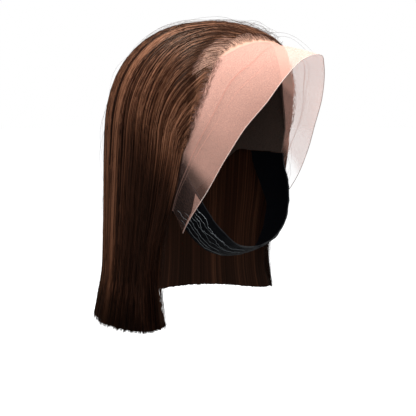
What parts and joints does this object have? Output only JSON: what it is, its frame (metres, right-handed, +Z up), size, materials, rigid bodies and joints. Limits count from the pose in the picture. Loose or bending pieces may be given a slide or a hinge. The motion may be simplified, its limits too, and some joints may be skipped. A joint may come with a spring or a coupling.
{
  "type": "bob wig",
  "caption": "Straight brown shoulder-length bob wig with a sheer lace front, combed back from the hairline, with a black elastic chin band.",
  "frame": {"origin": "where the crown of the head meets the inside of the cap", "axes": "+Z up, the wearer faces -Y, the wearer's left is +X"},
  "size_m": [0.2104, 0.2263, 0.2827],
  "materials": {
    "brown_hair": "sleek hair with a soft sheen",
    "cap_net": "matt stretch net",
    "lace": "sheer matt lace",
    "black_elastic": "soft sheen elastic"
  },
  "bodies": {
    "root": {"cap": "cap_net", "lace_front": "lace", "hair_right": "brown_hair", "hair_back": "brown_hair", "hair_left": "brown_hair", "chin_strap": "black_elastic"}
  },
  "joints": []
}
